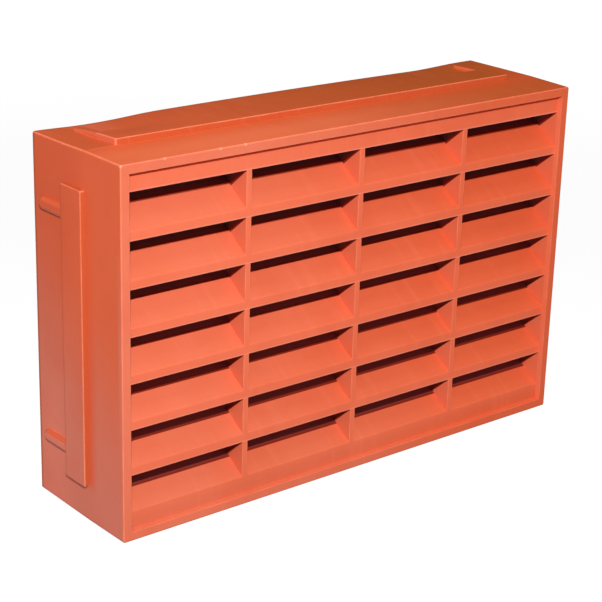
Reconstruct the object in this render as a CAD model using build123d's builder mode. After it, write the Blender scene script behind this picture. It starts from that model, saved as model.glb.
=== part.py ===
from build123d import *
import math
import os

# Louvred airbrick, moulded in one piece of terracotta-coloured plastic.
# Millimetres. The origin is under the middle of the body, +Z is up and the louvres face -Y.

# Body, a box open at the back, with the width and height of its front face
body_width = 215.0
body_height = 139.0
body_depth = 56.0
wall = 2.5
corner_radius = 0.8
front_edge_radius = 0.5

# The sides and the top draw in from the parting line, towards the front and towards the back
parting_depth = 21.8
wall_draft = 0.6

# Raised rim around the recessed louvre panel
rim_width = 3.85
recess_depth = 2.0
recess_draft = 10.0
panel_thickness = 2.5
top_band = 6.55
bottom_band = 6.75

# Louvres
rows = 7
columns = 4
web_thickness = 2.3
lip_height = 3.5
lip_radius = 0.8
blade_reach = 14.0
blade_slope = 34.0
blade_tail = 2.2
tail_radius = 0.7

# Mortar keys, a raised bar on each side and one on the top, measured from the edges of the front face
key_setback = 22.1
key_depth = 13.3
side_key_proud = 2.0
side_key_inset = 13.8
top_key_proud = 2.5
top_key_inset = 12.65
key_corner_radius = 0.9
key_crown_radius = 0.5

# Rounded ribs that run back from the keys, a little lower than the keys
rib_width = 4.6
rib_step = 0.3
rib_round = 1.4
rib_back_gap = 5.0
side_rib_inset = 24.7
top_rib_inset = 15.1

# Planes and levels that the features share
front_y = -body_depth / 2
back_y = body_depth / 2
panel_y = front_y + recess_depth
louvre_back_y = panel_y + blade_reach
parting_y = front_y + parting_depth
side_key_x = body_width / 2 + side_key_proud
top_key_z = body_height + top_key_proud
key_middle_y = front_y + key_setback + key_depth / 2
rib_end_y = back_y - rib_back_gap
rib_length = rib_end_y - key_middle_y
rib_middle_y = (key_middle_y + rib_end_y) / 2

# Sections of the body at the parting line and at the back
front_swell = parting_depth * math.tan(math.radians(wall_draft))
rear_shrink = (body_depth - parting_depth) * math.tan(math.radians(wall_draft))
parting_width = body_width + 2 * front_swell
parting_height = body_height + front_swell
rear_width = parting_width - 2 * rear_shrink
rear_height = parting_height - rear_shrink
cavity_width = rear_width - 2 * wall
cavity_height = rear_height - 2 * wall

# Louvre field, as wide as the floor of the recess and shared out evenly
field_width = body_width - 2 * rim_width
field_top = body_height - rim_width - top_band
field_bottom = rim_width + bottom_band
row_pitch = (field_top - field_bottom + lip_height) / rows
column_pitch = (field_width + web_thickness) / columns
blade_rise = blade_reach * math.tan(math.radians(blade_slope))
lip_feet = [field_top - row_pitch * (row + 1) for row in range(rows)]

front_plane = Plane.XZ.offset(-front_y)
parting_plane = Plane.XZ.offset(-parting_y)
back_plane = Plane.XZ.offset(-back_y)
panel_plane = Plane.XZ.offset(-panel_y)
panel_back_plane = Plane.XZ.offset(-(panel_y + panel_thickness))
louvre_back_plane = Plane.XZ.offset(-louvre_back_y)

with BuildPart() as keys:
    # Side keys as one bar that runs right through the body, with rounded corners and crowns
    with BuildSketch(Plane.YZ):
        with Locations((key_middle_y, body_height / 2)):
            RectangleRounded(key_depth, body_height - 2 * side_key_inset, key_corner_radius)
    extrude(amount=side_key_x, both=True)
    fillet(keys.faces().filter_by(Axis.X).edges(), key_crown_radius)

    # Top key
    with BuildSketch(Plane.XY.offset(rear_height - wall)):
        with Locations((0, key_middle_y)):
            RectangleRounded(body_width - 2 * top_key_inset, key_depth, key_corner_radius)
    extrude(amount=top_key_z - rear_height + wall)
    fillet(keys.faces().sort_by(Axis.Z)[-1].edges(), key_crown_radius)

with BuildPart() as airbrick_body:
    # Solid block with rounded long edges, flat underneath and largest at the parting line
    with BuildSketch(front_plane):
        with Locations((0, body_height / 2)):
            RectangleRounded(body_width, body_height, corner_radius)
    with BuildSketch(parting_plane):
        with Locations((0, parting_height / 2)):
            RectangleRounded(parting_width, parting_height, corner_radius)
    with BuildSketch(back_plane):
        with Locations((0, rear_height / 2)):
            RectangleRounded(rear_width, rear_height, corner_radius)
    loft(ruled=True)
    fillet(airbrick_body.faces().sort_by(Axis.Y)[0].edges(), front_edge_radius)

    # Ribs on both sides, drawn right through the block and rounded at their crowns
    with BuildSketch(Plane.YZ):
        with Locations((rib_middle_y, side_rib_inset), (rib_middle_y, body_height - side_rib_inset)):
            SlotOverall(rib_length, rib_width)
    extrude(amount=side_key_x - rib_step, both=True)
    rib_crowns = airbrick_body.faces().filter_by(Axis.X).group_by(Axis.X)
    fillet((rib_crowns[0] + rib_crowns[-1]).edges(), rib_round)

    # Ribs on the top, near the ends of the key
    with BuildSketch(Plane.XY.offset(rear_height - wall)):
        with GridLocations(body_width - 2 * top_rib_inset, 0, 2, 1):
            with Locations((0, rib_middle_y)):
                SlotOverall(rib_length, rib_width, rotation=90)
    extrude(amount=top_key_z - rib_step - rear_height + wall)
    fillet(airbrick_body.faces().filter_by(Axis.Z).group_by(Axis.Z)[-1].edges(), rib_round)

    # Mortar keys over the front ends of the ribs
    add(keys.part)

    # Recess inside the rim, with drafted walls that open towards the front
    with BuildSketch(panel_plane):
        with Locations((0, body_height / 2)):
            Rectangle(field_width, body_height - 2 * rim_width)
    extrude(amount=recess_depth, taper=-recess_draft, mode=Mode.SUBTRACT)

    # Duct behind the louvres, open at the back
    with BuildSketch(louvre_back_plane):
        with Locations((0, wall + cavity_height / 2)):
            Rectangle(cavity_width, cavity_height)
    extrude(amount=-(back_y - louvre_back_y), mode=Mode.SUBTRACT)

    # Chamber around the louvres
    with BuildSketch(panel_back_plane):
        with Locations((0, wall + cavity_height / 2)):
            Rectangle(field_width, cavity_height)
    extrude(amount=-(blade_reach - panel_thickness), mode=Mode.SUBTRACT)

    # Window in the panel, down to the middle of the lowest lip
    window_foot = field_bottom - lip_height / 2
    with BuildSketch(panel_plane):
        with Locations((0, (field_top + window_foot) / 2)):
            Rectangle(field_width, field_top - window_foot)
    extrude(amount=-panel_thickness, mode=Mode.SUBTRACT)

    # Louvre blades, each a lip that rises inwards to a thinner tail
    with BuildSketch(Plane.YZ) as blade_sections:
        with Locations([(panel_y, foot) for foot in lip_feet]):
            Polygon(
                (0, 0),
                (0, lip_height),
                (blade_reach, lip_height + blade_rise),
                (blade_reach, lip_height + blade_rise - blade_tail),
                align=None,
            )
        lip_corners = blade_sections.vertices().group_by(Axis.X)[0].sort_by(Axis.Y)
        tail_corners = blade_sections.vertices().group_by(Axis.X)[-1]
        fillet(lip_corners[1::2], lip_radius)
        fillet(tail_corners, tail_radius)
    extrude(amount=field_width / 2, both=True)

    # Upright webs between the columns
    with BuildSketch(panel_plane):
        with Locations((0, wall + cavity_height / 2)):
            with GridLocations(column_pitch, 0, columns - 1, 1):
                Rectangle(web_thickness, cavity_height)
    extrude(amount=-blade_reach)

airbrick_body.part.label = "airbrick_body"

os.makedirs("parts", exist_ok=True)
export_step(airbrick_body.part, "parts/airbrick_body.step")
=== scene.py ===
"""Louvred airbrick in terracotta-coloured moulded plastic, dressed over its solid model."""

import math

import bmesh
import bpy
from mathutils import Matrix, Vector


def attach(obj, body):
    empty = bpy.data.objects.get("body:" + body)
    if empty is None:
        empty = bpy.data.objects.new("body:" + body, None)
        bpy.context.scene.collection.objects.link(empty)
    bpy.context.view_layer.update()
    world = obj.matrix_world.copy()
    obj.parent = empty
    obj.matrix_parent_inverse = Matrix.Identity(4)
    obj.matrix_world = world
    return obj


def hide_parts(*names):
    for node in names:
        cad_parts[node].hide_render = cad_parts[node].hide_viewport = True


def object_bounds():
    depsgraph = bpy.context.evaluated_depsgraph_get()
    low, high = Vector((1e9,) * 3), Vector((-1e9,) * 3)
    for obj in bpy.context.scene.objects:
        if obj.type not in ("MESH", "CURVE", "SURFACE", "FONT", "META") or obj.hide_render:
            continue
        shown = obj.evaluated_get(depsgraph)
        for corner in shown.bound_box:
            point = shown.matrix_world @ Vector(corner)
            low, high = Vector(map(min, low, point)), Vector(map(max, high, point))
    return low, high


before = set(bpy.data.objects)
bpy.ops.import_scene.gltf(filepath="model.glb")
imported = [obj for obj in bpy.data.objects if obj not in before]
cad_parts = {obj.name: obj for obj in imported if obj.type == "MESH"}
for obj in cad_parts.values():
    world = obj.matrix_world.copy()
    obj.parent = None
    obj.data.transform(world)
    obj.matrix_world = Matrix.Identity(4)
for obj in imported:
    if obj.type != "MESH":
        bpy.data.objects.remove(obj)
cad_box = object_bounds()

MM = 0.001

# Camera of the photograph, in the part's own frame
CAMERA_PLACE = (-409.8 * MM, -490.2 * MM, 291.7 * MM)
CAMERA_AIM = (-29.1 * MM, -28.0 * MM, 75.6 * MM)
CAMERA_ROLL = math.radians(1.6)
CAMERA_LENS = 103.6

# Small softbox just above the lens
LENS_BOX_PLACE = (-500 * MM, -622 * MM, 557 * MM)
LENS_BOX_AIM = (0, -28 * MM, 70 * MM)
LENS_BOX_SIDE = 30 * MM
LENS_BOX_POWER = 8.1

# Large softboxes overhead and beside the left wall, and the even light of the room
OVERHEAD_PLACE = (-60 * MM, -160 * MM, 800 * MM)
OVERHEAD_AIM = (-20 * MM, 0, 139 * MM)
OVERHEAD_SIDE = 400 * MM
OVERHEAD_POWER = 0.75
LEFT_BOX_PLACE = (-600 * MM, 220 * MM, 25 * MM)
LEFT_BOX_AIM = (-107 * MM, 0, 70 * MM)
LEFT_BOX_SIDE = 300 * MM
LEFT_BOX_POWER = 0.3
ROOM_LIGHT = 0.29
ROOM_SHEEN = 0.06

# Floor, which shows white to the camera and still takes the shadow
FLOOR_SIDE = 30.0
FLOOR_COLOUR = (0.30, 0.30, 0.30, 1)
FLOOR_GLOW = (0.79, 1.0)
FLOOR_GLOW_RADIUS = (0.25, 1.2)

# Terracotta plastic, what dust and handling have made of it, and its painted edge highlights and corner
# shade
PLASTIC = (0.80, 0.130, 0.047, 1)
PLASTIC_DEEP = (0.66, 0.090, 0.030, 1)
# Colour of rubbed edges, also used as a painted highlight on them
RUBBED_AND_HIGHLIGHT = (0.96, 0.27, 0.145, 1)
NICK = (0.96, 0.42, 0.29, 1)
# Painted shade for inner corners, a dark red
CORNER_SHADE = (0.26, 0.026, 0.008, 1)

# Tints of the front, with a painted sheen, and painted shade under the rim and deep in the slots
# Pale tint painted on the front as a sheen, stronger towards the left
PALE_SHEEN = (0.79, 0.172, 0.085, 1)
LOW_FRONT = (0.70, 0.155, 0.075, 1)
RIM_FILM = (0.82, 0.184, 0.096, 1)
# Saturated red painted into the shadow under the rim
RIM_SHADOW_RED = (0.92, 0.085, 0.026, 1)
PANEL_FACE = (1.0, 0.186, 0.086, 1)
LIP_EDGE = (0.93, 0.25, 0.17, 1)
WEB_WALL = (0.79, 0.182, 0.092, 1)
# Painted shade deep in the slots: its reddish edge, then dark, darker in the upper rows
SLOT_SHADE_EDGE = (0.22, 0.016, 0.005, 1)
SLOT_SHADE_HIGH = (0.105, 0.046, 0.050, 1)
SLOT_SHADE_LOW = (0.24, 0.046, 0.042, 1)

# Tints of the sides, with dust and a painted sheen of the floor low down, and painted shade on the faces of
# the keys turned to the lamps
# Dust with a painted sheen of the floor, low on the sides
DUST_AND_FLOOR_SHEEN = (0.74, 0.200, 0.132, 1)
PALE_DUST_AND_FLOOR_SHEEN = (0.92, 0.245, 0.165, 1)
SIDE_STEP = (0.80, 0.100, 0.025, 1)
# Painted shade for the faces of the side keys that turn to the lamps
SIDE_KEY_FACE_SHADE = (0.53, 0.104, 0.034, 1)
SIDE_RIB = (0.70, 0.115, 0.042, 1)
# Dust with a painted sheen of the floor, on the undersides of the ribs
RIB_DUST_AND_FLOOR_SHEEN = (0.95, 0.40, 0.34, 1)

# Tints of the top, painted darker towards the right, with painted shade on the keys and a pale parting line
# painted partly as a highlight
# Top colours at the left and at the right; the darker right ones are painted shade
TOP_FRONT_LEFT = (0.877, 0.168, 0.058, 1)
TOP_FRONT_RIGHT = (0.64, 0.104, 0.014, 1)
TOP_REAR_LEFT = (0.69, 0.110, 0.027, 1)
TOP_REAR_RIGHT = (0.525, 0.094, 0.007, 1)
TOP_STEP = (0.74, 0.094, 0.017, 1)
# Painted shade for the front faces of the top keys
TOP_KEY_FACE_SHADE = (0.58, 0.098, 0.028, 1)
TOP_RIB = (0.68, 0.105, 0.030, 1)
# Pale line along the parting, painted partly as the highlight of its step
PARTING_HIGHLIGHT = (0.92, 0.180, 0.075, 1)
# Painted shade for edges that turn away from the lamps, at the back of the body and of the side keys
BACK_EDGE_SHADE = (0.40, 0.075, 0.020, 1)

# Grain of the mould, and the gloss of the plastic
GRAIN_PER_METRE = 3500.0
WAVES_PER_METRE = 60.0
WAVE_HEIGHT = 1.5
STREAK_STRETCH = (260.0, 14.0, 14.0)
GRAIN_DEPTH = 0.03 * MM
GRAIN_STRENGTH = 0.35
SOFT_EDGE_RADIUS = 0.3 * MM
ROUGHNESS = (0.47, 0.58)
PLASTIC_IOR = 1.49
PLASTIC_SPECULAR = 0.3

# Rubbed edges that are also painted as highlights, painted shade in inner corners, and the few nicks along
# the front edges
EDGE_WIDTH = 0.8 * MM
CORNER_REACH = 4 * MM
ROUND_EDGE_SHARE = 0.55
SHARP_EDGE_SHARE = 0.75
NICKS = (
    (-89.7 * MM, -28 * MM, 138.8 * MM),
    (-66.5 * MM, -28 * MM, 138.8 * MM),
    (-55.7 * MM, -28 * MM, 138.8 * MM),
    (-107.3 * MM, -27.8 * MM, 138.6 * MM),
)
NICK_RADIUS = 0.9 * MM

# Planes and edges of the body, from the box of its solid, whose keys stand proud of the sides and the top
FRONT_Y = cad_box[0][1]
BACK_Y = cad_box[1][1]
BODY_SIDE = cad_box[1][0] - 2.0 * MM
TOP_Z = cad_box[1][2] - 2.5 * MM
PARTING_Y = FRONT_Y + 21.8 * MM
KEY_FRONT_Y = FRONT_Y + 22.1 * MM
KEY_BACK_Y = KEY_FRONT_Y + 13.3 * MM
KEY_FOOT = 13.8 * MM
KEY_HEAD = TOP_Z - KEY_FOOT
KEY_END_X = BODY_SIDE - 12.65 * MM
RIB_BACK_Y = BACK_Y - 5 * MM

# Louvre field, inside the rim and in front of the duct
PANEL_Y = FRONT_Y + 2.0 * MM
PANEL_SLACK = 0.3 * MM
RECESS_Y = FRONT_Y + 0.2 * MM
FIELD_BACK_Y = PANEL_Y + 14.2 * MM
FIELD_BORDER = (105 * MM, 106 * MM)
RIM_INNER_TOP = TOP_Z - 3.85 * MM
FIELD_TOP = RIM_INNER_TOP - 6.55 * MM
ROW_PITCH = 121.5 / 7 * MM
BLADE_FACING = (0.0, -0.559, 0.829)

# How far a face turns to an axis, from where it starts to count as facing that way to where it fully does
FACING = (0.90, 0.98)
FACING_FRONT = (-0.8, -0.95)
FACING_LEFT = (-0.8, -0.95)
WEB_FACING = (0.8, 0.95)
SIDE_FACING = (0.5, 0.9)
KEY_FACING_FRONT = (-0.7, -0.95)
KEY_FACING_UP = (0.7, 0.95)
RIB_FACING_DOWN = (-0.3, -0.7)
RIB_FACING_UP = (0.1, 0.4)
ON_BLADE = (0.90, 0.96)

# Reach of the tints on the front
LEFT_TO_RIGHT = (85 * MM, -85 * MM)
LOW_FRONT_Z = (50 * MM, 5 * MM)
RIM_FILM_Y = (FRONT_Y + 0.4 * MM, FRONT_Y)
RIM_LINE_HEIGHT = (1.35 * MM, 1.05 * MM)
PANEL_TINT_Z = (5 * MM, 12 * MM)
LIP_EDGE_FOOT = 12 * MM
LIP_EDGE_HEIGHT = (ROW_PITCH - 0.75 * MM, ROW_PITCH - 0.25 * MM)

# Painted shade deep in the slots, laid like a dark film: on the blades past this depth, and on the webs
# under a line that falls as the lamp's shadow does
SLOT_SHADE_LEAN = -0.026
SLOT_SHADE_DEPTH = (-18.9 * MM, -17.0 * MM)
SLOT_SHADE_ROWS_Z = (115 * MM, 50 * MM)
WEB_SHADOW_FALL = 0.82
WEB_SHADOW_EDGE = -0.2 * MM
WEB_SHADOW_FULL = 4.5 * MM
WEB_SHADOW_START = 0.035

# Reach of the tints on the sides
DUST_SHEEN_LEAN = -0.9
DUST_SHEEN_Z = (105 * MM, 25 * MM)
WORN_EDGE_Y = (FRONT_Y + 2.6 * MM, FRONT_Y + 1.8 * MM)
WORN_EDGE_Z = (120 * MM, 70 * MM)
WORN_EDGE_SHARE = 0.8
LOW_REAR_Y = (-2 * MM, 20 * MM)
LOW_REAR_Z = (60 * MM, 20 * MM)
UPPER_REAR_Y = (-8 * MM, 6 * MM)
UPPER_REAR_Z = (60 * MM, 115 * MM)
SIDE_STEP_Y = (KEY_FRONT_Y - 7 * MM, KEY_FRONT_Y)
SIDE_STEP_FOOT = (KEY_FOOT - 4 * MM, KEY_FOOT + 4 * MM)
SIDE_STEP_HEAD = (KEY_HEAD + 4 * MM, KEY_HEAD - 4 * MM)
SIDE_STEP_Z = (100 * MM, 25 * MM)
SIDE_STEP_SHARE = (0.45, 0.85)
PROUD_OF_SIDE = (BODY_SIDE + 0.05 * MM, BODY_SIDE + 0.15 * MM)
SIDE_KEY_CROWN = (BODY_SIDE + 1.0 * MM, BODY_SIDE + 1.2 * MM)
KEY_BACK_BORDER = (KEY_BACK_Y - 1.6 * MM, KEY_BACK_Y - 0.4 * MM)
RIB_START_Y = KEY_BACK_Y + 0.1 * MM

# Reach of the tints on the top
TOP_BORDER = (TOP_Z - 1.0 * MM, TOP_Z - 0.6 * MM)
PROUD_OF_TOP = (TOP_Z + 0.05 * MM, TOP_Z + 0.15 * MM)
TOP_ACROSS = (100 * MM, -40 * MM)
KEY_BORDER = (KEY_FRONT_Y - 0.3 * MM, KEY_FRONT_Y + 0.1 * MM)
RIGHT_END_BORDER = (KEY_END_X, KEY_END_X + 1 * MM)
RIGHT_END_Y = (KEY_FRONT_Y - 8 * MM, BACK_Y - 4 * MM)
TOP_STEP_Y = (KEY_FRONT_Y - 13.5 * MM, KEY_FRONT_Y)
PARTING_WIDTH = (0.45 * MM, 0.15 * MM)
PARTING_SHARE = (0.15, 0.75)
BACK_BORDER = (BACK_Y - 1.8 * MM, BACK_Y - 0.4 * MM)

# Behind its key the top wall has sunk a little at the left, bowed up in the middle and lifted at the right,
# and its ribs run out to the back
TOP_WALL_FOOT = 134 * MM
SAG_DEPTH = 0.75 * MM
SAG_LEFT = (-107.5 * MM, -86 * MM)
SAG_RIGHT = (-54 * MM, -80 * MM)
SAG_BACK = (-5.4 * MM, 9 * MM)
SAG_AT_CORNER = 0.3
BOW_HEIGHT = 0.5 * MM
BOW_REACH = 85 * MM
LIFT_HEIGHT = 0.9 * MM
LIFT_RIGHT = (72 * MM, 100 * MM)
END_RIGHT = (95.5 * MM, 104 * MM)
RISE_BACK = (KEY_BACK_Y, 24 * MM)
RIB_TOP_WALL = TOP_Z + 0.05 * MM
RIB_TAPER = 0.62
CUTS_ACROSS = [place * MM for place in range(-104, 105, 6)]
CUTS_BACK = [place * MM for place in range(-4, 27, 2)]
WELD = 0.001 * MM


def new_tree(name):
    """A material with an empty node tree."""
    material = bpy.data.materials.new(name)
    material.use_nodes = True
    material.node_tree.nodes.clear()
    return material, material.node_tree


def new_group(name, inputs, outputs):
    """A shader node group. inputs are (name, socket type, value) rows, outputs are names of values."""
    tree = bpy.data.node_groups.new(name, "ShaderNodeTree")
    for label, kind, value in inputs:
        socket = tree.interface.new_socket(label, in_out="INPUT", socket_type=kind)
        if value is not None:
            socket.default_value = value
    for label in outputs:
        tree.interface.new_socket(label, in_out="OUTPUT", socket_type="NodeSocketFloat")
    return tree, tree.nodes.new("NodeGroupInput"), tree.nodes.new("NodeGroupOutput")


def put_out(tree, out, masks):
    """Link each mask to the group's output of that name."""
    for label, mask in masks.items():
        tree.links.new(mask, out.inputs[label])


def add_node(tree, kind, inputs=None, **settings):
    """A node with its settings. inputs gives sockets a value, or another node's output to be linked."""
    node = tree.nodes.new(kind)
    for key, value in settings.items():
        setattr(node, key, value)
    for key, value in (inputs or {}).items():
        if isinstance(value, bpy.types.NodeSocket):
            tree.links.new(value, node.inputs[key])
        else:
            node.inputs[key].default_value = value
    return node


def math_node(tree, operation, first, second=0.0):
    return add_node(tree, "ShaderNodeMath", {0: first, 1: second}, operation=operation).outputs[0]


def product(tree, first, *others):
    """All the masks multiplied together."""
    for other in others:
        first = math_node(tree, "MULTIPLY", first, other)
    return first


def inverse(tree, mask):
    return math_node(tree, "SUBTRACT", 1.0, mask)


def ramp(tree, value, low, high, out_low=0.0, out_high=1.0):
    """value from low to high, taken smoothly to the range out_low to out_high."""
    sockets = {"Value": value, "From Min": low, "From Max": high, "To Min": out_low, "To Max": out_high}
    node = add_node(tree, "ShaderNodeMapRange", sockets, interpolation_type="SMOOTHSTEP")
    return node.outputs["Result"]


def vector_math(tree, operation, first, second=None):
    sockets = {0: first} if second is None else {0: first, 1: second}
    return add_node(tree, "ShaderNodeVectorMath", sockets, operation=operation).outputs


def separate(tree, vector):
    return add_node(tree, "ShaderNodeSeparateXYZ", {0: vector}).outputs


def mix_colour(tree, factor, under, over):
    """One colour over another, by a factor. The colours of a Mix node are its sockets 6 and 7."""
    sockets = {0: factor, 6: under, 7: over}
    return add_node(tree, "ShaderNodeMix", sockets, data_type="RGBA").outputs[2]


def lay_tints(tree, colour, tints):
    """Lay tints over a colour one after another. Each row is a mask, the tint and its strength."""
    for mask, tint, strength in tints:
        colour = mix_colour(tree, product(tree, mask, strength), colour, tint)
    return colour


def noise(tree, vector, scale, detail=2.0, roughness=0.5):
    sockets = {"Vector": vector, "Scale": scale, "Detail": detail, "Roughness": roughness}
    return add_node(tree, "ShaderNodeTexNoise", sockets).outputs[0]


def make_grain_group():
    """Fine spark-eroded grain of the mould, slow waves from the shrinking plastic, and flow streaks."""
    tree, into, out = new_group(
        "Moulded grain",
        [("Vector", "NodeSocketVector", None), ("Grain per metre", "NodeSocketFloat", GRAIN_PER_METRE),
         ("Waves per metre", "NodeSocketFloat", WAVES_PER_METRE)],
        ["Height", "Mottle", "Streaks"])
    spot = into.outputs["Vector"]
    grain = noise(tree, spot, into.outputs["Grain per metre"], 3.0, 0.6)
    waves = noise(tree, spot, into.outputs["Waves per metre"], 1.0)
    stretched = add_node(tree, "ShaderNodeMapping", {"Vector": spot, "Scale": STREAK_STRETCH}).outputs[0]
    put_out(tree, out, {
        "Height": math_node(tree, "ADD", grain, product(tree, waves, WAVE_HEIGHT)),
        "Mottle": noise(tree, spot, 28.0, 4.0, 0.6),
        "Streaks": noise(tree, stretched, 1.0, 3.0, 0.6),
    })
    return tree


def make_edge_group():
    """Masks for rounded and sharp outer edges, rubbed and painted as highlights, and for painted shade in
    inner corners.
    """
    tree, into, out = new_group(
        "Rubbed and highlit edges",
        [("Vector", "NodeSocketVector", None), ("Normal", "NodeSocketVector", None),
         ("Edge width", "NodeSocketFloat", EDGE_WIDTH), ("Corner reach", "NodeSocketFloat", CORNER_REACH)],
        ["Round edge highlight", "Sharp edge highlight", "Shaded corner"])
    patches = ramp(tree, noise(tree, into.outputs["Vector"], 90.0, 5.0, 0.65), 0.36, 0.62, 0.3, 1.0)

    # A rounded edge faces none of the three axes, and is painted as a highlight where it turns to the front,
    # towards the lamps
    share = separate(tree, vector_math(tree, "ABSOLUTE", into.outputs["Normal"])[0])
    straight = math_node(tree, "MAXIMUM", math_node(tree, "MAXIMUM", share["X"], share["Y"]), share["Z"])
    towards_front = ramp(tree, separate(tree, into.outputs["Normal"])["Y"], 0.3, 0.0)

    # A sharp edge turns when it is bevelled, and lies open to the room
    rounded = add_node(tree, "ShaderNodeBevel", {"Radius": into.outputs["Edge width"]}, samples=8)
    surface = add_node(tree, "ShaderNodeNewGeometry")
    facing = vector_math(tree, "DOT_PRODUCT", rounded.outputs["Normal"], surface.outputs["True Normal"])
    bend = ramp(tree, facing["Value"], 0.99, 0.88)
    reach = into.outputs["Corner reach"]
    # Ambient occlusion keeps highlights to open edges and paints shade into inner corners
    openness = add_node(tree, "ShaderNodeAmbientOcclusion", {"Distance": reach}, samples=8).outputs["AO"]
    put_out(tree, out, {
        "Round edge highlight": product(tree, ramp(tree, straight, 0.97, 0.88), patches, towards_front),
        "Sharp edge highlight": product(tree, bend, ramp(tree, openness, 0.72, 0.92), patches),
        "Shaded corner": ramp(tree, openness, 0.62, 0.30),
    })
    return tree


def make_top_group():
    """Masks of the top, the keys and their ribs, and of the steps that the keys make."""
    tree, into, out = new_group(
        "Top tints",
        [("Vector", "NodeSocketVector", None), ("Normal", "NodeSocketVector", None)],
        ["Top", "Top across", "Rear", "Step", "Parting highlight", "Back edge shade", "Top key face shade", "Top rib",
         "Side step", "Side key face shade", "Key back edge shade", "Side rib", "Rib underside sheen"])
    place = separate(tree, into.outputs["Vector"])
    normal = separate(tree, into.outputs["Normal"])
    from_middle = math_node(tree, "ABSOLUTE", place["X"])
    upward = ramp(tree, normal["Z"], *FACING)
    forward = ramp(tree, normal["Y"], *KEY_FACING_FRONT)
    on_top = product(tree, upward, ramp(tree, place["Z"], *TOP_BORDER))
    behind_key = math_node(tree, "GREATER_THAN", place["Y"], RIB_START_Y)

    # The top is deeper behind the front of its key, and more gradually past the key's right end
    right_end = ramp(tree, place["X"], *RIGHT_END_BORDER)
    behind_front = product(tree, ramp(tree, place["Y"], *KEY_BORDER), inverse(tree, right_end))
    gradual = product(tree, ramp(tree, place["Y"], *RIGHT_END_Y), right_end)
    from_parting = math_node(tree, "ABSOLUTE", math_node(tree, "SUBTRACT", place["Y"], PARTING_Y))
    past_ends = math_node(tree, "GREATER_THAN", from_middle, KEY_END_X)
    clearer_left = ramp(tree, place["X"], BODY_SIDE, -BODY_SIDE, *PARTING_SHARE)
    # Painted highlight along the parting line, clearer to the left
    parting_highlight = product(tree, ramp(tree, from_parting, *PARTING_WIDTH), past_ends, on_top, clearer_left)
    above_top = ramp(tree, place["Z"], *PROUD_OF_TOP)
    put_out(tree, out, {
        "Top": on_top,
        "Top across": ramp(tree, place["X"], *TOP_ACROSS),
        "Rear": math_node(tree, "ADD", behind_front, gradual),
        "Step": ramp(tree, place["Y"], *TOP_STEP_Y),
        "Parting highlight": parting_highlight,
        # Painted shade along the rear edge
        "Back edge shade": ramp(tree, place["Y"], *BACK_BORDER),
        "Top key face shade": product(tree, above_top, forward),
        "Top rib": product(tree, above_top, behind_key, inverse(tree, upward)),
    })

    # The sides are redder in front of their keys, and the keys and ribs stand proud of them; the faces of
    # the keys turned to the lamps get painted shade, and the undersides of the ribs get dust and a painted
    # sheen of the floor
    near_key = ramp(tree, place["Y"], *SIDE_STEP_Y)
    before_key = math_node(tree, "LESS_THAN", place["Y"], KEY_FRONT_Y)
    aside = ramp(tree, math_node(tree, "ABSOLUTE", normal["X"]), *FACING)
    above_foot = ramp(tree, place["Z"], *SIDE_STEP_FOOT)
    along_key = product(tree, above_foot, ramp(tree, place["Z"], *SIDE_STEP_HEAD))
    deeper_low = ramp(tree, place["Z"], *SIDE_STEP_Z, *SIDE_STEP_SHARE)
    beyond_side = ramp(tree, from_middle, *PROUD_OF_SIDE)
    # Faces of the keys turned to the lamps, which get painted shade
    lit = math_node(tree, "MAXIMUM", forward, ramp(tree, normal["Z"], *KEY_FACING_UP))
    # Painted shade on the crown of the side keys by their back edge, which turns away from the lamps
    by_back = product(tree, ramp(tree, place["Y"], *KEY_BACK_BORDER), inverse(tree, behind_key))
    put_out(tree, out, {
        "Side step": product(tree, near_key, before_key, aside, along_key, deeper_low),
        "Side key face shade": product(tree, beyond_side, lit),
        "Key back edge shade": product(tree, ramp(tree, from_middle, *SIDE_KEY_CROWN), by_back),
        "Side rib": product(tree, beyond_side, behind_key, ramp(tree, normal["Z"], *RIB_FACING_UP)),
        "Rib underside sheen": product(tree, beyond_side, ramp(tree, normal["Z"], *RIB_FACING_DOWN)),
    })
    return tree


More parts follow.
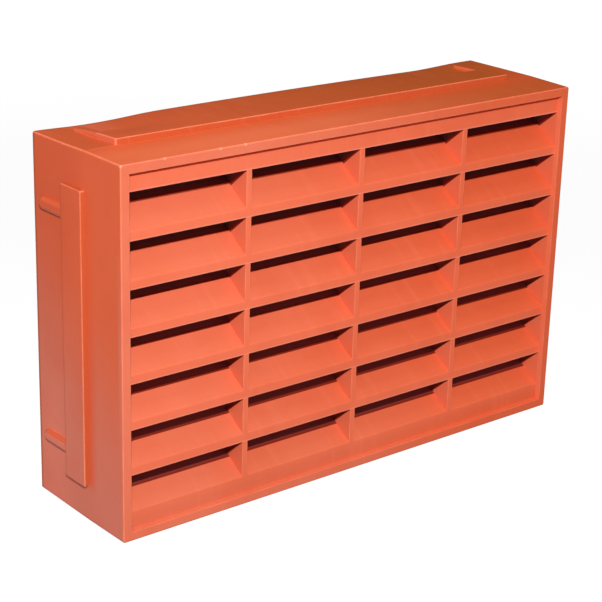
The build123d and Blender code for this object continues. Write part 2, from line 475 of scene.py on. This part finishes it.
def make_weather_and_shade_group():
    """Masks by place: painted sheen on the front, dust and a painted sheen of the floor on the sides, film
    on the rim, and painted shade under the rim and deep in the slots.
    """
    tree, into, out = new_group(
        "Weathering and painted shade",
        [("Vector", "NodeSocketVector", None), ("Normal", "NodeSocketVector", None)],
        ["Across", "Pale sheen", "Low left", "Dust and floor sheen", "Low rear", "Upper rear", "Rim", "Rim shadow red", "Panel",
         "Lip edge", "Web wall", "Slot shade", "Lower rows", "Field"])
    place = separate(tree, into.outputs["Vector"])
    normal = separate(tree, into.outputs["Normal"])
    turned_aside = math_node(tree, "ABSOLUTE", normal["X"])
    outside = ramp(tree, math_node(tree, "ABSOLUTE", place["X"]), *FIELD_BORDER)
    inside = inverse(tree, outside)
    sideways = product(tree, ramp(tree, turned_aside, *SIDE_FACING), outside)
    uneven = ramp(tree, noise(tree, into.outputs["Vector"], 22.0, 4.0, 0.6), 0.25, 0.7, 0.7, 1.0)
    # Painted sheen on the faces that are not turned sideways, stronger towards the left
    across = ramp(tree, place["X"], *LEFT_TO_RIGHT)
    front_towards_left = product(tree, across, inverse(tree, sideways))

    # Dust and a painted sheen of the floor lie low on the sides, higher at the back, and along the worn
    # front edge
    dust_sheen_height = math_node(tree, "ADD", place["Z"], product(tree, place["Y"], DUST_SHEEN_LEAN))
    worn = product(tree, ramp(tree, place["Y"], *WORN_EDGE_Y, 0.0, WORN_EDGE_SHARE),
                   ramp(tree, place["Z"], *WORN_EDGE_Z))
    dust_and_sheen = math_node(tree, "MAXIMUM", ramp(tree, dust_sheen_height, *DUST_SHEEN_Z), worn)
    low_rear = product(tree, ramp(tree, place["Y"], *LOW_REAR_Y), ramp(tree, place["Z"], *LOW_REAR_Z))
    upper_rear = product(tree, ramp(tree, place["Y"], *UPPER_REAR_Y), ramp(tree, place["Z"], *UPPER_REAR_Z))
    put_out(tree, out, {
        "Across": across,
        "Pale sheen": product(tree, front_towards_left, uneven),
        "Low left": product(tree, front_towards_left, ramp(tree, place["Z"], *LOW_FRONT_Z)),
        "Dust and floor sheen": product(tree, dust_and_sheen, sideways, uneven),
        "Low rear": product(tree, low_rear, sideways),
        "Upper rear": product(tree, upper_rear, sideways),
    })

    # The panel with the feet of its lips, and the painted red of the shadow under the rim
    on_panel = math_node(tree, "GREATER_THAN", place["Y"], PANEL_Y - PANEL_SLACK)
    by_panel = math_node(tree, "LESS_THAN", place["Y"], PANEL_Y + PANEL_SLACK)
    before_duct = math_node(tree, "LESS_THAN", place["Y"], FIELD_BACK_Y)
    in_recess = math_node(tree, "GREATER_THAN", place["Y"], RECESS_Y)
    field = product(tree, inside, on_panel, before_duct)
    below_rim = math_node(tree, "SUBTRACT", RIM_INNER_TOP, place["Z"])
    under_rim = math_node(tree, "GREATER_THAN", below_rim, 0.0)
    # Band of the rim's cast shadow, painted redder
    line = product(tree, ramp(tree, below_rim, *RIM_LINE_HEIGHT), under_rim)
    face = product(tree, on_panel, by_panel, ramp(tree, normal["Y"], *FACING_FRONT))
    from_top = math_node(tree, "SUBTRACT", FIELD_TOP, place["Z"])
    under_lip = math_node(tree, "FLOORED_MODULO", from_top, ROW_PITCH)
    above_band = math_node(tree, "GREATER_THAN", place["Z"], LIP_EDGE_FOOT)
    put_out(tree, out, {
        "Field": field,
        "Rim": product(tree, ramp(tree, place["Y"], *RIM_FILM_Y), across),
        "Rim shadow red": product(tree, line, field),
        "Panel": product(tree, face, ramp(tree, place["Z"], *PANEL_TINT_Z)),
        "Lip edge": product(tree, face, above_band, ramp(tree, under_lip, *LIP_EDGE_HEIGHT)),
        "Web wall": product(tree, inside, in_recess, before_duct, ramp(tree, normal["X"], *FACING_LEFT)),
    })

    # Painted shade on the blades, and painted shadow on the webs in a saw-tooth that follows the rows
    facing = vector_math(tree, "DOT_PRODUCT", into.outputs["Normal"], BLADE_FACING)["Value"]
    leaning = math_node(tree, "ADD", place["Y"], product(tree, place["Z"], SLOT_SHADE_LEAN))
    blade = product(tree, ramp(tree, leaning, *SLOT_SHADE_DEPTH), ramp(tree, facing, *ON_BLADE))
    depth = math_node(tree, "SUBTRACT", place["Y"], PANEL_Y)
    past_line = math_node(tree, "SUBTRACT", depth, math_node(tree, "DIVIDE", under_lip, WEB_SHADOW_FALL))
    deepening = ramp(tree, past_line, WEB_SHADOW_EDGE, WEB_SHADOW_FULL, WEB_SHADOW_START, 1.0)
    under_line = math_node(tree, "GREATER_THAN", past_line, WEB_SHADOW_EDGE)
    web = product(tree, deepening, under_line, ramp(tree, turned_aside, *WEB_FACING))
    put_out(tree, out, {
        "Slot shade": product(tree, math_node(tree, "MAXIMUM", blade, web), field),
        "Lower rows": ramp(tree, place["Z"], *SLOT_SHADE_ROWS_Z),
    })
    return tree


def make_nick_group():
    """Mask of the small nicks along the front edges."""
    tree, into, out = new_group("Edge nicks", [("Vector", "NodeSocketVector", None)], ["Nick"])
    nicked = 0.0
    for spot in NICKS:
        away = vector_math(tree, "DISTANCE", into.outputs["Vector"], spot)["Value"]
        nicked = math_node(tree, "MAXIMUM", nicked, ramp(tree, away, NICK_RADIUS, NICK_RADIUS / 3))
    put_out(tree, out, {"Nick": nicked})
    return tree


def make_plastic():
    material, tree = new_tree("terracotta_plastic")
    where = add_node(tree, "ShaderNodeTexCoord").outputs
    makers = (make_grain_group, make_edge_group, make_top_group, make_weather_and_shade_group, make_nick_group)
    groups = [add_node(tree, "ShaderNodeGroup", node_tree=make()) for make in makers]
    for group in groups:
        tree.links.new(where["Object"], group.inputs["Vector"])
        if "Normal" in group.inputs:
            tree.links.new(where["Normal"], group.inputs["Normal"])
    grain, edges, top, weather_and_shade, nicks = (group.outputs for group in groups)

    # Top: more orange, warmer towards the step of the key and deeper behind it, and painted darker towards
    # the right
    front_top = mix_colour(tree, top["Top across"], TOP_FRONT_RIGHT, TOP_FRONT_LEFT)
    front_top = lay_tints(tree, front_top, [(top["Step"], TOP_STEP, 0.6)])
    rear_top = mix_colour(tree, weather_and_shade["Across"], TOP_REAR_RIGHT, TOP_REAR_LEFT)
    whole_top = mix_colour(tree, top["Rear"], front_top, rear_top)
    # Painted shade in the slots, darker in the upper rows
    slot_shade = mix_colour(tree, weather_and_shade["Lower rows"], SLOT_SHADE_HIGH, SLOT_SHADE_LOW)
    outer_edge = product(tree, edges["Round edge highlight"], inverse(tree, weather_and_shade["Field"]))
    sharp_edge = product(tree, edges["Sharp edge highlight"], SHARP_EDGE_SHARE)
    # Edges that are rubbed and also painted as highlights
    rubbed_and_highlit = math_node(tree, "MAXIMUM", product(tree, outer_edge, ROUND_EDGE_SHARE), sharp_edge)

    # Front and sides first, then the top, slow drift and flow streaks, painted shade in corners and slots,
    # and handling with painted edge highlights last
    colour = lay_tints(tree, PLASTIC, [
        # painted sheen on the front
        (weather_and_shade["Pale sheen"], PALE_SHEEN, 1.0),
        (weather_and_shade["Low left"], LOW_FRONT, 0.5),
        # dust and a painted sheen of the floor
        (weather_and_shade["Dust and floor sheen"], DUST_AND_FLOOR_SHEEN, 1.0),
        (weather_and_shade["Low rear"], PALE_DUST_AND_FLOOR_SHEEN, 0.6),
        (weather_and_shade["Upper rear"], PLASTIC_DEEP, 0.35),
        (weather_and_shade["Rim"], RIM_FILM, 1.0),
        (weather_and_shade["Panel"], PANEL_FACE, 0.45),
        (weather_and_shade["Lip edge"], LIP_EDGE, 0.8),
        (weather_and_shade["Web wall"], WEB_WALL, 0.65),
        # painted red in the shadow under the rim
        (weather_and_shade["Rim shadow red"], RIM_SHADOW_RED, 1.0),
        (top["Side step"], SIDE_STEP, 1.0),
        # painted shade on the faces of the keys turned to the lamps
        (top["Top key face shade"], TOP_KEY_FACE_SHADE, 1.0),
        (top["Side key face shade"], SIDE_KEY_FACE_SHADE, 1.0),
        (top["Top"], whole_top, 1.0),
        # pale parting line, partly a painted highlight
        (top["Parting highlight"], PARTING_HIGHLIGHT, 1.0),
        # painted shade on edges turned away from the lamps
        (top["Back edge shade"], BACK_EDGE_SHADE, 0.7),
        (top["Key back edge shade"], BACK_EDGE_SHADE, 0.3),
        (ramp(tree, grain["Mottle"], 0.60, 0.30), PLASTIC_DEEP, 0.22),
        (ramp(tree, grain["Streaks"], 0.52, 0.75), RUBBED_AND_HIGHLIGHT, 0.11),
        # painted shade in inner corners
        (edges["Shaded corner"], CORNER_SHADE, 0.2),
        # painted shade and shadow deep in the slots
        (ramp(tree, weather_and_shade["Slot shade"], 0.0, 0.06), SLOT_SHADE_EDGE, 1.0),
        (ramp(tree, weather_and_shade["Slot shade"], 0.3, 0.95), slot_shade, 1.0),
        # rubbed edges, also painted as highlights
        (rubbed_and_highlit, RUBBED_AND_HIGHLIGHT, 1.0),
        (top["Top rib"], TOP_RIB, 0.8),
        (top["Side rib"], SIDE_RIB, 1.0),
        # dust and a painted sheen of the floor under the ribs
        (top["Rib underside sheen"], RIB_DUST_AND_FLOOR_SHEEN, 0.9),
        (nicks["Nick"], NICK, 0.5),
    ])

    soft_edges = add_node(tree, "ShaderNodeBevel", {"Radius": SOFT_EDGE_RADIUS}, samples=6)
    bump = add_node(tree, "ShaderNodeBump", {
        "Strength": GRAIN_STRENGTH,
        "Distance": GRAIN_DEPTH,
        "Height": grain["Height"],
        "Normal": soft_edges.outputs["Normal"],
    })
    surface = add_node(tree, "ShaderNodeBsdfPrincipled", {
        "Base Color": colour,
        "Roughness": ramp(tree, grain["Mottle"], 0.3, 0.7, *ROUGHNESS),
        "Normal": bump.outputs["Normal"],
        "IOR": PLASTIC_IOR,
        "Specular IOR Level": PLASTIC_SPECULAR,
    })
    add_node(tree, "ShaderNodeOutputMaterial", {"Surface": surface.outputs["BSDF"]})
    return material


def smooth_step(value, low, high):
    share = min(max((value - low) / (high - low), 0.0), 1.0)
    return share * share * (3 - 2 * share)


def settled(point):
    """A point of the top wall, with its ribs run out to the back and the wall warped behind its key."""
    height = point.z
    if point.y > KEY_BACK_Y and height > RIB_TOP_WALL:
        taper = RIB_TAPER * (point.y - KEY_BACK_Y) / (RIB_BACK_Y - KEY_BACK_Y)
        height -= (height - RIB_TOP_WALL) * taper
    from_left = SAG_AT_CORNER + (1 - SAG_AT_CORNER) * smooth_step(point.x, *SAG_LEFT)
    from_right = smooth_step(point.x, *SAG_RIGHT)
    height -= SAG_DEPTH * from_left * from_right * smooth_step(point.y, *SAG_BACK)
    bow = BOW_HEIGHT * max(0.0, 1 - (point.x / BOW_REACH) ** 2)
    behind_key = smooth_step(point.y, *RISE_BACK)
    at_end = smooth_step(point.x, *END_RIGHT)
    along_end = (point.y - FRONT_Y) / (BACK_Y - FRONT_Y)
    lift = LIFT_HEIGHT * smooth_step(point.x, *LIFT_RIGHT) * ((1 - at_end) * behind_key + at_end * along_end)
    height += bow * behind_key + lift
    return Vector((point.x, point.y, height))


def make_settled_body(node, plastic):
    """The moulding as it stands: a welded copy of its solid, cut finer where the top wall has warped."""
    shape = bmesh.new()
    shape.from_mesh(node.data)
    bmesh.ops.remove_doubles(shape, verts=shape.verts, dist=WELD)
    cuts = [((place, 0, 0), (1, 0, 0)) for place in CUTS_ACROSS]
    cuts += [((0, place, 0), (0, 1, 0)) for place in CUTS_BACK]
    for place, facing in cuts:
        faces = [face for face in shape.faces if min(corner.co.z for corner in face.verts) > TOP_WALL_FOOT]
        edges = {edge for face in faces for edge in face.edges}
        corners = {corner for face in faces for corner in face.verts}
        touched = [*faces, *edges, *corners]
        bmesh.ops.bisect_plane(shape, geom=touched, plane_co=place, plane_no=facing, dist=WELD)
    for corner in shape.verts:
        if corner.co.z > TOP_WALL_FOOT:
            corner.co = settled(corner.co)
    bmesh.ops.triangulate(shape, faces=[face for face in shape.faces if len(face.verts) > 3])
    for face in shape.faces:
        face.smooth = False
    mesh = bpy.data.meshes.new("settled_airbrick")
    shape.to_mesh(mesh)
    shape.free()
    mesh.materials.append(plastic)
    piece = bpy.data.objects.new("settled_airbrick", mesh)
    bpy.context.collection.objects.link(piece)
    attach(piece, "root")
    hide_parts("airbrick_body")


def make_floor():
    material, tree = new_tree("pale_floor")
    spot = add_node(tree, "ShaderNodeTexCoord").outputs["Object"]
    away = vector_math(tree, "LENGTH", spot)["Value"]
    glow = ramp(tree, away, *FLOOR_GLOW_RADIUS, *FLOOR_GLOW)
    rays = add_node(tree, "ShaderNodeLightPath").outputs
    seen = math_node(tree, "MAXIMUM", rays["Is Camera Ray"], rays["Is Transmission Ray"])
    matte = add_node(tree, "ShaderNodeBsdfDiffuse", {"Color": FLOOR_COLOUR})
    lit = add_node(tree, "ShaderNodeEmission", {"Strength": product(tree, glow, seen)})
    both = add_node(tree, "ShaderNodeAddShader", {0: matte.outputs[0], 1: lit.outputs[0]})
    add_node(tree, "ShaderNodeOutputMaterial", {"Surface": both.outputs[0]})

    shape = bmesh.new()
    bmesh.ops.create_grid(shape, x_segments=1, y_segments=1, size=FLOOR_SIDE / 2)
    mesh = bpy.data.meshes.new("floor")
    shape.to_mesh(mesh)
    shape.free()
    mesh.materials.append(material)
    floor = bpy.data.objects.new("floor", mesh)
    bpy.context.collection.objects.link(floor)


def turn_towards(thing, aim):
    """Turn a lamp or a camera so that it looks at a point."""
    look = Vector(aim) - thing.location
    thing.rotation_euler = look.to_track_quat("-Z", "Y").to_euler()


def make_softbox(name, place, aim, side, power):
    lamp = bpy.data.lights.new(name, "AREA")
    lamp.shape = "SQUARE"
    lamp.size = side
    lamp.energy = power
    softbox = bpy.data.objects.new(name, lamp)
    softbox.location = place
    turn_towards(softbox, aim)
    bpy.context.collection.objects.link(softbox)


def make_light():
    make_softbox("key_softbox", LENS_BOX_PLACE, LENS_BOX_AIM, LENS_BOX_SIDE, LENS_BOX_POWER)
    make_softbox("top_softbox", OVERHEAD_PLACE, OVERHEAD_AIM, OVERHEAD_SIDE, OVERHEAD_POWER)
    make_softbox("wall_softbox", LEFT_BOX_PLACE, LEFT_BOX_AIM, LEFT_BOX_SIDE, LEFT_BOX_POWER)

    # Even light of the room, white where the camera sees it and faint in reflections
    world = bpy.data.worlds.new("room")
    world.use_nodes = True
    tree = world.node_tree
    rays = add_node(tree, "ShaderNodeLightPath").outputs
    strength = ramp(tree, rays["Is Glossy Ray"], 0.0, 1.0, ROOM_LIGHT, ROOM_SHEEN)
    strength = math_node(tree, "MAXIMUM", strength, rays["Is Camera Ray"])
    room = tree.nodes["Background"]
    room.inputs["Color"].default_value = (1, 1, 1, 1)
    tree.links.new(strength, room.inputs["Strength"])
    bpy.context.scene.world = world


def make_camera():
    camera = bpy.data.objects.new("camera", bpy.data.cameras.new("camera"))
    camera.data.lens = CAMERA_LENS
    camera.location = CAMERA_PLACE
    turn_towards(camera, CAMERA_AIM)
    camera.rotation_euler.rotate_axis("Z", CAMERA_ROLL)
    bpy.context.collection.objects.link(camera)
    bpy.context.scene.camera = camera


make_settled_body(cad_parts["airbrick_body"], make_plastic())
make_floor()
make_light()
make_camera()
bpy.context.scene.view_settings.view_transform = "Standard"
